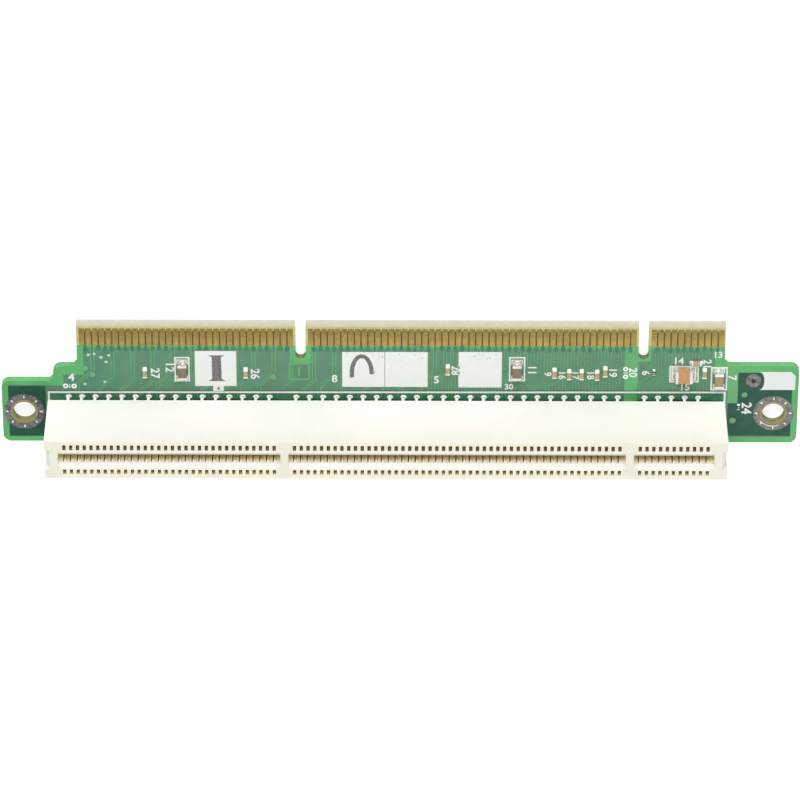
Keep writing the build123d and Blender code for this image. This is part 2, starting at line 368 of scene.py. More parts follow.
glaze = finish("black glaze", srgb(30, 30, 32), 0.3, drift=0.2, patch=2000.0)
print("finishes:", len(bpy.data.materials))

# %% [markdown]
# ## The board's own material
# The board is one solid with three surfaces. Its faces carry green solder mask. The tongue is bare
# laminate between the fingers, and its lead-in bevel shows the pale glass weave. The walls of the
# outline are sawn laminate that some green has run over, and in the screw holes it is bare khaki.
# All of them can be told apart by height and by place, so one material mixes them on Object
# coordinates.

# %% Masks that follow a coordinate
def step_mask(tree, value, start, end):
    """0 before start and 1 after end, both in millimetres."""
    return node(tree, "ShaderNodeMapRange", _0=value, _1=start * MM, _2=end * MM).outputs[0]


def before_mask(tree, value, start, end):
    """1 before start and 0 after end."""
    return maths(tree, "SUBTRACT", 1.0, step_mask(tree, value, start, end))


def spans_mask(tree, value, spans, soft=0.05):
    """1 inside any of the spans (low, high), 0 elsewhere."""
    total = 0.0
    for low, high in spans:
        span = maths(tree, "SUBTRACT", step_mask(tree, value, low, low + soft),
                     step_mask(tree, value, high - soft, high))
        total = maths(tree, "ADD", total, span)
    return total


def all_of(tree, *masks):
    """1 where every mask is 1."""
    product = masks[0]
    for mask in masks[1:]:
        product = maths(tree, "MULTIPLY", product, mask)
    return product


def distance_from(tree, value, middle):
    """How far a coordinate is from a place in millimetres, on either side."""
    return maths(tree, "ABSOLUTE", maths(tree, "SUBTRACT", value, middle * MM))


def blend_colors(tree, factor, first, second):
    """The first colour where the mask is 0, the second where it is 1."""
    made = node(tree, "ShaderNodeMix", {"data_type": "RGBA"}, _0=factor, _6=first, _7=second)
    return made.outputs[2]


def ramp(tree, value, start, end, first, second):
    """One colour before start and another after end, both in millimetres."""
    return blend_colors(tree, step_mask(tree, value, start, end), first, second)


# %% Build the board's material
BEVEL_LENGTH = 0.80


def board_material():
    material, tree, shader, place = start_material("circuit board")
    x, y, z = node(tree, "ShaderNodeSeparateXYZ", _0=place).outputs
    green = tone(tree, place, srgb(88, 176, 104), 260.0, 0.08)
    sawn = tone(tree, place, srgb(104, 176, 112), 1500.0, 0.12)
    # painted shade: the dark brown seen in the gaps between the fingers
    gap = tone(tree, place, srgb(92, 58, 24), 900.0, 0.2)
    strip = tone(tree, place, srgb(196, 188, 130), 900.0, 0.1)
    dusty = tone(tree, place, srgb(196, 191, 158), 700.0, 0.05)
    khaki = tone(tree, place, srgb(150, 140, 92), 1500.0, 0.20)
    cream = tone(tree, place, srgb(200, 199, 184), 700.0, 0.05)

    # the faces: mask, then the tongue with painted shade in the gaps between fingers, then the bevel
    between = spans_mask(tree, x, [(finger_x(section[-1]), finger_x(section[0])) for section in sections])
    in_gap = all_of(tree, between, step_mask(tree, y, FINGER_START + 0.25, FINGER_START + 0.65))
    tongue = blend_colors(tree, in_gap, strip, gap)
    face = ramp(tree, y, FINGER_END, FINGER_END + 0.05, tongue, green)
    bevel_end = board_low.y + BEVEL_LENGTH
    lead = ramp(tree, y, board_low.y + 0.15, bevel_end, cream, dusty)
    face = ramp(tree, y, bevel_end, bevel_end + 0.15, lead, face)

    # the walls: sawn, greyish with painted shade at the end of the key notches, khaki in the screw holes
    wall = ramp(tree, y, bevel_end + 0.06, bevel_end + 0.10, lead, sawn)
    notch_floor = board_low.y + NOTCH_DEPTH - 1.3
    notch_spans = [(finger_x(step) - 1.3, finger_x(step) + 1.3) for step in key_steps]
    in_notch = all_of(tree, maths(tree, "SUBTRACT", step_mask(tree, y, notch_floor, notch_floor + 0.3),
                                  step_mask(tree, y, notch_floor + 1.5, notch_floor + 1.6)),
                      spans_mask(tree, x, notch_spans))
    # painted shade at the end of the key notches
    wall = blend_colors(tree, in_notch, wall, srgb(128, 126, 104))
    from_middle = distance_from(tree, x, 0)
    in_hole = all_of(tree, before_mask(tree, from_middle, board_high.x - 1.0, board_high.x - 0.9),
                     step_mask(tree, y, 3.0, 3.1),
                     before_mask(tree, y, board_high.y - 1.0, board_high.y - 0.9))
    wall = blend_colors(tree, in_hole, wall, khaki)

    # what lies at the height of a face is face, and the rest is wall
    half = (FRONT - BACK) / 2
    on_face = step_mask(tree, distance_from(tree, z, (FRONT + BACK) / 2), half - 0.06, half - 0.03)
    tree.links.new(blend_colors(tree, on_face, wall, face), shader.inputs["Base Color"])
    add_grain(tree, shader, place, 2400.0, 0.06)
    rough = node(tree, "ShaderNodeMapRange", _0=on_face, _3=0.8, _4=0.4)
    tree.links.new(rough.outputs[0], shader.inputs["Roughness"])
    return material


# %% [markdown]
# ## Two finishes that change with depth
# The moulding is ivory outside. Its slot and windows are painted khaki and then brown as they get deeper:
# painted shade, since little light comes back out of them. The gold fingers are dull and speckled near the
# card edge, where each insertion rubs them. Both are a colour that follows one Object coordinate, so both
# use the same kind of ramp. The thin moulding also lets light through to its ribs and windows. A little
# scattering and a very weak glow there stand for it, because a full simulation of the light inside would be
# slow and noisy at this size.

# %% Ivory outside, with painted shade down the slot and the windows
# the painted dark slit of shade beside a contact starts and ends this far from the contact's middle
SLIT = (0.11, 0.33)


def housing_material():
    material, tree, shader, place = start_material("housing")
    x, y, z = node(tree, "ShaderNodeSeparateXYZ", _0=place).outputs
    # painted shade: the walls are darker up by the rim (upper) than down by the board (lower)
    upper_painted_shade = tone(tree, place, srgb(231, 229, 221), 160.0, 0.02)
    lower = tone(tree, place, srgb(252, 250, 243), 160.0, 0.02)
    top = tone(tree, place, srgb(244, 241, 225), 260.0, 0.02)
    # painted light: cream is a painted highlight round the windows; pale lightens the lead-in, ends and top
    # by the slot
    cream = tone(tree, place, srgb(252, 246, 225), 260.0, 0.02)
    pale = tone(tree, place, srgb(255, 253, 240), 260.0, 0.02)
    rib = tone(tree, place, srgb(255, 248, 212), 1200.0, 0.06)
    # painted shade: the ribs, the slit beside each contact and the windows darken as they go down
    rib_in_painted_shade = tone(tree, place, srgb(220, 208, 168), 1500.0, 0.10)
    slit_shade = tone(tree, place, srgb(70, 58, 24), 1500.0, 0.3)
    window_wall = tone(tree, place, srgb(222, 212, 160), 1500.0, 0.18)
    window_in_painted_shade = tone(tree, place, srgb(150, 130, 80), 1500.0, 0.2)

    # where a point is: across from the slot's middle, down from the top, along from the middle
    across = maths(tree, "SUBTRACT", y, SLOT_LINE * MM)
    from_slot = maths(tree, "ABSOLUTE", across)
    down = maths(tree, "SUBTRACT", TOP * MM, z)
    from_middle = distance_from(tree, x, (housing_low.x + housing_high.x) / 2)
    half_length = (housing_high.x - housing_low.x) / 2
    with_contacts = spans_mask(tree, x, [(contact_x(section[-1]) - 0.5, contact_x(section[0]) + 0.5)
                                         for section in sections])
    past_bar = step_mask(tree, from_slot, SLOT_HALF + 0.03, SLOT_HALF + 0.06)

    # inside: ribs with a painted dark slit of shade beside each contact, and the windows past the bar
    ribs = ramp(tree, down, 0.8, 3.4, rib, rib_in_painted_shade)
    in_pitch = maths(tree, "FLOORED_MODULO", maths(tree, "SUBTRACT", x, (FIRST_CONTACT - PITCH / 2) * MM),
                     PITCH * MM)
    beside = spans_mask(tree, in_pitch, [(PITCH / 2 + SLIT[0], PITCH / 2 + SLIT[1])], soft=0.03)
    ribs = blend_colors(tree, all_of(tree, beside, with_contacts), ribs, slit_shade)
    windows = ramp(tree, down, 1.4, 3.4, window_wall, window_in_painted_shade)
    inside_color = blend_colors(tree, past_bar, ribs, windows)

    # inside starts a little below the rim: lowest in the slot, highest in the rear row's windows
    window_top = node(tree, "ShaderNodeMix", {"data_type": "FLOAT"}, _0=step_mask(tree, across, -0.1, 0.1),
                      _2=step_mask(tree, down, 0.40, 0.62), _3=step_mask(tree, down, 0.15, 0.35)).outputs[0]
    by_row = node(tree, "ShaderNodeMix", {"data_type": "FLOAT"},
                  _0=step_mask(tree, maths(tree, "ADD", from_slot, down), 2.05, 2.10),
                  _2=step_mask(tree, down, 0.92, 1.06), _3=window_top).outputs[0]
    underside = TOP - FRONT - STANDOFF - 0.2
    inside = all_of(tree, before_mask(tree, from_slot, 3.68, 3.70),
                    before_mask(tree, from_middle, half_length - 2.2, half_length - 2.0), by_row,
                    before_mask(tree, down, underside - 0.2, underside))

    # outside: painted shade, walls paler towards the board; painted light, the lead-in and ribs' tops
    # palest
    outside = ramp(tree, down, 0.5, 12.0, upper_painted_shade, lower)
    outside = blend_colors(tree, spans_mask(tree, across, [(-1.75, -0.80)]), outside, pale)
    # painted light on the shaded faces at the housing's ends beside the slot
    lit_near_slot = all_of(tree, step_mask(tree, from_middle, half_length - 1.6, half_length - 1.5),
                       spans_mask(tree, across, [(-1.9, 1.9)]))
    outside = blend_colors(tree, lit_near_slot, outside, pale)
    # painted highlights on the top between the slot and the windows
    highlights_by_windows = ramp(tree, from_slot, 1.9, 2.6, pale, cream)
    face = blend_colors(tree, with_contacts, top, highlights_by_windows)
    shell = ramp(tree, down, 0.01, 0.06, face, outside)
    tree.links.new(blend_colors(tree, inside, shell, inside_color), shader.inputs["Base Color"])

    # the light that the thin walls let through
    glowing = blend_colors(tree, past_bar, ribs, srgb(128, 122, 88))
    let_through = blend_colors(tree, inside, (0, 0, 0, 1), glowing)
    tree.links.new(let_through, shader.inputs["Emission Color"])
    shader.inputs["Emission Strength"].default_value = 0.09
    shader.inputs["Subsurface Weight"].default_value = 0.15
    shader.inputs["Subsurface Radius"].default_value = (1.0, 0.9, 0.6)
    shader.inputs["Subsurface Scale"].default_value = 0.0015
    shader.inputs["Specular IOR Level"].default_value = 0.35
    add_grain(tree, shader, place, 5000.0, 0.10, (0.46, 0.58))
    return material


# %% Gold that is dull and speckled towards the card edge
def finger_gold():
    material, tree, shader, place = start_material("finger gold")
    x, y = node(tree, "ShaderNodeSeparateXYZ", _0=place).outputs[:2]
    middle = tone(tree, place, srgb(170, 152, 72), 420.0, 0.14)
    edge = tone(tree, place, srgb(176, 144, 90), 420.0, 0.14)
    dull = tone(tree, place, srgb(142, 124, 62), 3200.0, 0.45)
    # each finger is redder towards its sides and duller towards the card edge
    off_middle = maths(tree, "PINGPONG", maths(tree, "SUBTRACT", x, FIRST_FINGER * MM), PITCH / 2 * MM)
    bright = ramp(tree, off_middle, 0.12, 0.42, middle, edge)
    base = ramp(tree, y, FINGER_START + 0.5, FINGER_END - 0.6, dull, bright)
    rub = group_node(tree, rubbing, Place=place, Amount=0.55)
    color = blend_colors(tree, rub.outputs["Mask"], base, srgb(116, 92, 40))
    tree.links.new(color, shader.inputs["Base Color"])
    shader.inputs["Metallic"].default_value = 0.55
    add_grain(tree, shader, place, 6000.0, 0.06, (0.32, 0.46))
    return material


# %% Paint the solids
def paint(material, *names):
    for name in names:
        nodes[name].data.materials.clear()
        nodes[name].data.materials.append(material)
    print(material.name, "on", len(names), "solids")


paint(board_material(), "circuit_board")
paint(housing_material(), "connector_housing")
paint(finger_gold(), *[f"{face}_fingers_{letter}" for face in ("front", "back") for letter in "abc"])
paint(ceramic, "capacitor_1_body", "capacitor_2_body")
paint(ceramic_khaki, "capacitor_3_body")
paint(ceramic_warm, "wide_capacitor_body")
paint(solder, "capacitor_1_ends", "capacitor_2_ends", "capacitor_3_ends", "wide_capacitor_ends")

# %% [markdown]
# ## How the added pieces are made
# Three ways cover nearly all of them. A flat print is a filled 2D curve, pulled up a hundredth of a
# millimetre, and loops inside loops become holes. A trace is a path that a geometry tree sweeps
# with a flat section. What repeats, such as a contact or a solder joint, is shaped once and placed
# on a row of points by a second tree. Each result is turned into a plain mesh at the origin.

# %% Keep a finished piece
def keep(name, mesh, replaced=()):
    """A finished piece from its mesh: it rides with the card and may stand for solids."""
    piece = add_object(name, mesh)
    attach(piece, "root")
    if replaced:
        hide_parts(*replaced)
    print(f"{name}: {len(mesh.polygons)} faces")
    return piece


def evaluated_mesh(maker):
    bpy.context.view_layer.update()
    graph = bpy.context.evaluated_depsgraph_get()
    mesh = bpy.data.meshes.new_from_object(maker.evaluated_get(graph))
    bpy.data.objects.remove(maker)
    return mesh


# %% Flat prints
PRINT = 0.012
FACES = (("front", FRONT), ("back", BACK))


def flat_print(name, loops, lift, material, face=FRONT, thickness=PRINT):
    """Filled loops of (x, y) in millimetres, lying on the front or the back of the board."""
    curve = bpy.data.curves.new(name, "CURVE")
    curve.dimensions = "2D"
    curve.fill_mode = "BOTH"
    curve.extrude = thickness / 2 * MM
    for loop in loops:
        spline = curve.splines.new("POLY")
        spline.points.add(len(loop) - 1)
        for point, (x, y) in zip(spline.points, loop):
            point.co = (x * MM, y * MM, 0, 1)
        spline.use_cyclic_u = True
    curve.materials.append(material)
    mesh = evaluated_mesh(add_object(name, curve))
    outward = 1 if face == FRONT else -1
    mesh.transform(Matrix.Translation((0, 0, (face + outward * (lift + thickness / 2)) * MM)))
    return keep(name, mesh)


def rectangle(x0, y0, x1, y1):
    return [(x0, y0), (x1, y0), (x1, y1), (x0, y1)]


def circle(x, y, radius, sides=48):
    return [(x + radius * math.cos(2 * math.pi * n / sides), y + radius * math.sin(2 * math.pi * n / sides))
            for n in range(sides)]


def frame_loops(x0, y0, x1, y1, line):
    """A rectangle's outline, line wide."""
    return [rectangle(x0, y0, x1, y1), rectangle(x0 + line, y0 + line, x1 - line, y1 - line)]


# %% Geometry trees
def geometry_tree(title, inputs):
    """An empty geometry tree: (name, kind, value) for each input after the geometry."""
    return new_tree(title, (("Geometry", GEOMETRY, None),) + inputs, (("Geometry", GEOMETRY),),
                    "GeometryNodeTree")


def end_tree(tree, entry, leave, geometry):
    """The geometry leaves as one real mesh with the tree's material."""
    real = node(tree, "GeometryNodeRealizeInstances", Geometry=geometry)
    colored = node(tree, "GeometryNodeSetMaterial", Geometry=real.outputs[0],
                   Material=entry.outputs["Material"])
    tree.links.new(colored.outputs[0], leave.inputs[0])


def run_tree(name, tree, base, **inputs):
    """The plain mesh that a tree makes from a base mesh."""
    maker = add_object(name, base)
    modifier = maker.modifiers.new(name, "NODES")
    modifier.node_group = tree
    for item in tree.interface.items_tree:
        key = item.name.replace(" ", "_")
        if item.item_type == "SOCKET" and item.in_out == "INPUT" and key in inputs:
            modifier[item.identifier] = inputs[key]
    return evaluated_mesh(maker)


sweep, entry, leave = geometry_tree(
    "sweep a flat section",
    (("Width", FLOAT, 0.0002), ("Thickness", FLOAT, 0.00001), ("Bend radius", FLOAT, 0.0),
     ("Material", MATERIAL, None)))
path = node(sweep, "GeometryNodeMeshToCurve", Mesh=entry.outputs["Geometry"])
bent = node(sweep, "GeometryNodeFilletCurve", {"mode": "POLY"}, Curve=path.outputs[0], Count=3,
            Radius=entry.outputs["Bend radius"])
upright = node(sweep, "GeometryNodeSetCurveNormal", {"mode": "Z_UP"}, Curve=bent.outputs[0])
section = node(sweep, "GeometryNodeCurvePrimitiveQuadrilateral", Width=entry.outputs["Width"],
               Height=entry.outputs["Thickness"])
swept = node(sweep, "GeometryNodeCurveToMesh", Curve=upright.outputs[0],
             Profile_Curve=section.outputs[0], Fill_Caps=True)
end_tree(sweep, entry, leave, swept.outputs[0])

repeat, entry, leave = geometry_tree(
    "place a shape on points",
    (("Shape", "NodeSocketObject", None), ("Size spread", FLOAT, 0.0), ("Turn spread", FLOAT, 0.0),
     ("Seed", "NodeSocketInt", 4), ("Material", MATERIAL, None)))
shape = node(repeat, "GeometryNodeObjectInfo", Object=entry.outputs["Shape"])
less = maths(repeat, "SUBTRACT", 1.0, entry.outputs["Size spread"])
more = maths(repeat, "ADD", 1.0, entry.outputs["Size spread"])
size = node(repeat, "FunctionNodeRandomValue", {"data_type": "FLOAT"}, _2=less, _3=more,
            Seed=entry.outputs["Seed"])
about = node(repeat, "FunctionNodeRandomValue", {"data_type": "FLOAT"}, _2=0.0,
             _3=entry.outputs["Turn spread"], Seed=entry.outputs["Seed"])
turning = node(repeat, "ShaderNodeCombineXYZ", Z=about.outputs[1])
placed = node(repeat, "GeometryNodeInstanceOnPoints", Points=entry.outputs["Geometry"],
              Instance=shape.outputs["Geometry"], Rotation=turning.outputs[0], Scale=size.outputs[1])
end_tree(repeat, entry, leave, placed.outputs[0])
print("trees:", sweep.name, "and", repeat.name)

# %% Bases for the trees, and the two calls that use them
def path_mesh(name, paths):
    """A mesh of bare edges, one chain for each path of (x, y, z) in millimetres."""
    vertices, edges = [], []
    for points in paths:
        start = len(vertices)
        vertices += [(x * MM, y * MM, z * MM) for x, y, z in points]
        edges += [(start + n, start + n + 1) for n in range(len(points) - 1)]
    mesh = bpy.data.meshes.new(name)
    mesh.from_pydata(vertices, edges, [])
    return mesh


def sweep_paths(name, paths, width, thickness, material, bend=0.0):
    """Strips or traces along paths in millimetres."""
    return run_tree(name, sweep, path_mesh(name, paths), Width=width * MM, Thickness=thickness * MM,
                    Bend_radius=bend * MM, Material=material)


def repeat_mesh(name, shapes, points, size_spread=0.0, turn_spread=0.0, seed=4):
    """Copies of the shapes on each point of (x, y, z) in millimetres; each shape has one finish."""
    made = []
    for shape in shapes:
        model = add_object(name + " model", shape)
        made.append(run_tree(name, repeat, path_mesh(name, [[point] for point in points]), Shape=model,
                             Size_spread=size_spread, Turn_spread=turn_spread, Seed=seed,
                             Material=shape.materials[0]))
        bpy.data.objects.remove(model)
    return join(name, made)


# %% Single shapes: a lathe, a soft block, and a join
def shape_mesh(name, shape, material):
    """The mesh of a shape, which has one finish."""
    mesh = bpy.data.meshes.new(name)
    shape.to_mesh(mesh)
    shape.free()
    mesh.materials.append(material)
    return mesh


def lathe(name, profile, material, sides=14):
    """A solid of revolution about Z from (radius, height) in millimetres, ends on the axis or closed."""
    shape = bmesh.new()
    rings = []
    for radius, height in profile:
        rings.append([shape.verts.new((radius * MM * math.cos(2 * math.pi * n / sides),
                                       radius * MM * math.sin(2 * math.pi * n / sides), height * MM))
                      for n in range(sides)])
    for low, high in zip(rings, rings[1:]):
        for n in range(sides):
            after = (n + 1) % sides
            shape.faces.new((low[n], low[after], high[after], high[n]))
    shape.faces.new(list(reversed(rings[0])))
    shape.faces.new(rings[-1])
    bmesh.ops.recalc_face_normals(shape, faces=shape.faces)
    for face in shape.faces:
        face.smooth = len(face.verts) == 4
    return shape_mesh(name, shape, material)


def soft_block(name, low, high, radius, material, segments=2):
    """A box between two corners in millimetres with rounded edges."""
    shape = bmesh.new()
    bmesh.ops.create_cube(shape, size=1)
    size = [b - a for a, b in zip(low, high)]
    middle = [(a + b) / 2 for a, b in zip(low, high)]
    for vertex in shape.verts:
        vertex.co = Vector([(c * s + m) * MM for c, s, m in zip(vertex.co, size, middle)])
    if radius:
        bmesh.ops.bevel(shape, geom=list(shape.edges), offset=radius * MM, segments=segments, profile=0.5,
                        affect="EDGES")
    for face in shape.faces:
        face.smooth = False
    return shape_mesh(name, shape, material)


def join(name, meshes):
    """Several meshes as one, each with its own finish."""
    makers = [add_object(name, mesh) for mesh in meshes]
    with bpy.context.temp_override(active_object=makers[0], object=makers[0],
                                   selected_editable_objects=makers, selected_objects=makers):
        bpy.ops.object.join()
    mesh = makers[0].data
    bpy.data.objects.remove(makers[0])
    mesh.name = name
    return mesh


print("helpers ready")

# %% [markdown]
# ## Copper under the mask
# Solder mask is a thin green lacquer, so the copper below shows through it. Where there is none, at
# the border and round the key notches, the board looks light green. Over copper it looks darker and
# bluer, darkest on the solid planes at the tabs. Real planes are cut back from the border, so each
# is a flat print that is smaller than the board, with a bay of clear laminate round each notch.

# %% Planes on both faces
BORDER = 1.9
TAB_BORDER = 1.2
NOTCH_CLEAR = 2.0
BARE_RADIUS = 2.62
STEP_WIDTH = 4.6
hole_step = (board_high.x - 4.15, board_high.y - 6.6)
hole_plain = (board_low.x + 4.6, board_high.y - 6.6)
tongue_step = FIRST_FINGER + 0.98
tongue_plain = finger_x(all_steps[-1]) - 0.77
step_top = board_low.y + 9.7
tab_top = board_low.y + 13.0
plain_top = board_low.y + 9.33
plane_top = FINGER_END + 0.55


def plane_outline():
    """The outline of the copper, a border's width inside the board's, with bays round the notches."""
    points = [(board_high.x - TAB_BORDER, board_high.y - TAB_BORDER),
              (board_low.x + TAB_BORDER, board_high.y - TAB_BORDER),
              (board_low.x + TAB_BORDER, plain_top + BORDER), (tongue_plain + BORDER, plain_top + BORDER),
              (tongue_plain + BORDER, plane_top)]
    for step, clear, below in ((key_steps[1], 1.4, 0.5), (key_steps[0], NOTCH_CLEAR, 1.0)):
        x = finger_x(step)
        bay = board_low.y + NOTCH_DEPTH + below
        points += [(x - clear, plane_top), (x - clear, bay), (x + NOTCH_CLEAR, bay),
                   (x + NOTCH_CLEAR, plane_top)]
    points += [(tongue_step - BORDER, plane_top), (tongue_step - BORDER, step_top + BORDER),
               (tongue_step + STEP_WIDTH - BORDER, step_top + BORDER),
               (tongue_step + STEP_WIDTH - BORDER, tab_top + BORDER - 1.0),
               (board_high.x - TAB_BORDER, tab_top + BORDER - 1.0)]
    return points


holes = [circle(*hole_step, BARE_RADIUS), circle(*hole_plain, BARE_RADIUS)]
for face_name, face in FACES:
    flat_print(f"{face_name}_copper", [plane_outline()] + holes, 0.0, mask_copper, face=face)

# %% Darker planes at the two ends and under the connector
dark_end = [(tongue_step - 1.2, -7.2), (tongue_step - 1.2, step_top + BORDER),
            (tongue_step + STEP_WIDTH - BORDER, step_top + BORDER),
            (tongue_step + STEP_WIDTH - BORDER, 1.7), (53.2, 1.7), (53.2, -5.2), (55.2, -7.2)]
step_tab = rectangle(67.2, 0.9, board_high.x - TAB_BORDER, 12.1)
plain_tab = [(-62.2, 11.7), (board_low.x + TAB_BORDER, 11.7), (board_low.x + TAB_BORDER, -2.4),
             (-64.0, -2.4), (-64.0, 4.4), (-62.2, 4.4)]
flat_print("front_end_plane", [dark_end], PRINT, mask_end)
flat_print("strip_under_connector", [rectangle(-61.6, 2.1, 66.7, 11.2)], PRINT, mask_strip)
flat_print("step_tab_plane", [step_tab, holes[0]], PRINT, mask_dark)
flat_print("plain_tab_plane", [plain_tab, holes[1]], PRINT, mask_dark)
flat_print("plain_tab_bare_strip", [rectangle(-64.0, -2.5, -62.1, 4.4)], PRINT, mask_bare)

# %% [markdown]
# ## Traces
# Each finger's trace leaves it straight, then goes over at 45 degrees to the contact that stands
# 2.85 mm further along, and straight on to its tail. The fast signals run in pairs, two traces and
# then a gap. The bends lie at different heights, so the rule takes them from the pair's number.
# Further along, finer traces take the place of the pairs. Their bends follow one smooth line, so
# they never cross. A plane would hide them on a flat print, so they sit just above it, as the real
# ones do.

# %% Sweep the traces
TRACE = 0.22
FINE_TRACE = 0.15
FINE_FROM = 54
PAIR_SHIFT = 0.32
FINE_SHIFT = 0.30
OFFSET = FIRST_CONTACT - FIRST_FINGER
LAST_BEND = SLOT_LINE - TAIL_ROWS["outer"] - 0.8 - OFFSET


def bend_height(number):
    """Where a pair bends, between -2.6 and 0.8 mm, spread as if by chance."""
    return -2.6 + 3.4 * math.sin(number * 2.4) ** 2


def trace_path(x, bend, z):
    """Straight from a finger, over at 45 degrees, and straight on to the tails."""
    bend = min(bend, LAST_BEND)
    return [(x, FINGER_END, z), (x, bend, z), (x + OFFSET, bend + OFFSET, z),
            (x + OFFSET, SLOT_LINE - TAIL_ROWS["outer"], z)]


def paired_traces(z):
    """Two of every three fingers' traces, drawn together."""
    return [trace_path(finger_x(step) + (-PAIR_SHIFT if step % 3 == 1 else PAIR_SHIFT),
                       bend_height(step // 3), z)
            for step in all_steps if step % 3 and step < FINE_FROM]


def fine_traces(z):
    """Two from each finger, with bends along one wave."""
    bends = {step: -4.6 + 3.0 * math.sin(step * 0.16) ** 2 for step in all_steps if step >= FINE_FROM}
    return [trace_path(finger_x(step) + aside, bend, z) for step, bend in bends.items()
            for aside in (-FINE_SHIFT, FINE_SHIFT)]


for kind, paths, width in (("traces", paired_traces, TRACE), ("fine_traces", fine_traces, FINE_TRACE)):
    for face_name, z in (("front", FRONT + 2 * PRINT), ("back", BACK - 2 * PRINT)):
        name = f"{face_name}_{kind}"
        keep(name, sweep_paths(name, paths(z), width, PRINT, mask_trace))

# %% [markdown]
# ## Teeth under the fingers
# The mask opening ends just below the fingers. Between two fingers' traces the inner plane reaches up
# to it and shows through as a dark teal tooth about a millimetre high. Round each trace the laminate
# is clear and light, so the row under the gold looks toothed.

# %% Repeat the teeth on both faces
TOOTH = 1.15
TOOTH_WIDTH = 0.70
TOOTH_RISE = 1.6 * PRINT
gaps = [finger_x(step) - PITCH / 2 for section in sections for step in section[:-1]]
tooth_mesh = soft_block("tooth", (-TOOTH_WIDTH / 2, -TOOTH / 2, 0),
                        (TOOTH_WIDTH / 2, TOOTH / 2, TOOTH_RISE), 0, mask_teal)
for face_name, z in (("front", FRONT + PRINT), ("back", BACK - PRINT - TOOTH_RISE)):
    spots = [(x, FINGER_END + 0.12 + TOOTH / 2 + 0.12 * math.sin(n * 2.1), z) for n, x in enumerate(gaps)]
    keep(f"{face_name}_teeth", repeat_mesh("teeth", [tooth_mesh.copy()], spots, size_spread=0.14))

# %% [markdown]
# ## White ink
# White ink marks the connector's outline, frames the three upright capacitors and the wide one, and
# makes five plain patches. The patches are for stamps. Small plain numbers stand beside the chip
# parts, upside down in the picture, because the card is. The long outline isn't quite parallel to
# the housing, so it slants a little. The mask looks darker along it and in the shade under the
# housing's near edge. Two very thin prints stand for that, since the soft light washes it out.

# %% Lines, frames and patches
LINE = 0.40
INK = 0.03
patches_at = [(30.95, -6.96, 38.78, 0.80), (2.94, -6.81, 10.95, 0.94), (-5.21, -6.84, 2.83, 0.92),
              (-19.23, -6.88, -11.04, 0.99)]
flat_print("ink_patches", [rectangle(*patch) for patch in patches_at] + [rectangle(33.4, 0.80, 35.4, 1.9)],
           INK, ink)
SHADE = 0.004
SLANT = 0.0022
outline_near = 2.09 - LINE / 2
outline_left, outline_right = housing_low.x - 0.25, housing_high.x + 0.1


def slanted(loop):
    """The loop sheared a little along X."""
    return [(x, y + SLANT * (x + 15)) for x, y in loop]


outline = [slanted(loop) for loop in frame_loops(outline_left, outline_near, outline_right, 12.2, LINE)]
edges = slanted(rectangle(outline_left, outline_near - 0.20, outline_right, outline_near + LINE + 0.22))
flat_print("outline_edges", [edges], INK, mask_shade, thickness=SHADE)
hidden_from = housing_low.y + STANDOFF * math.tan(TILT)
shade = rectangle(housing_low.x + 0.4, hidden_from - 0.28, housing_high.x - 0.4, hidden_from + 1.2)
flat_print("shade_under_connector", [shade], INK, mask_deep, thickness=SHADE)
frames_at = [(39.76, -5.62, 42.67, -0.18), (-23.67, -5.79, -20.58, -0.36), (-61.97, -3.68, -58.78, 1.54),
             (-56.52, -3.88, -50.93, -0.23)]
frame_lines = [loop for place in frames_at for loop in frame_loops(*place, 0.3)]
flat_print("ink_lines", outline + frame_lines, INK, ink)
EARTH = (-66.92, -0.57)
bite_x = EARTH[0] - 1.16
bite = [(bite_x - 0.9 * math.sin(math.pi * n / 8), EARTH[1] + 1.96 * math.cos(math.pi * n / 8))
        for n in range(9)]
end_patch = [(bite_x, 1.39)] + bite + [(bite_x, -2.60), (-74.0, -2.60), (-74.85, -1.7), (-74.85, 1.39)]
flat_print("ink_end_patch", [end_patch], INK, ink)

# %% Numbers
def number_mesh(text, x, y, size, turned, material, lift=INK, thickness=PRINT):
    """A plain number whose middle is at x, y; turned is in degrees, 180 for upside down.

    The smallest number is on a patch, so it is dark and lies on the ink.
    """
    curve = bpy.data.curves.new("number", "FONT")
    curve.body = text
    curve.size = size * MM
    curve.align_x = "CENTER"
    curve.align_y = "CENTER"
    curve.extrude = thickness / 2 * MM
    curve.offset = 0.022 * size * MM
    curve.resolution_u = 3
    curve.materials.append(material)
    mesh = evaluated_mesh(add_object("number", curve))
    place = Matrix.Translation((x * MM, y * MM, (FRONT + lift + thickness / 2) * MM))
    mesh.transform(place @ Matrix.Rotation(math.radians(turned), 4, "Z"))
    return mesh


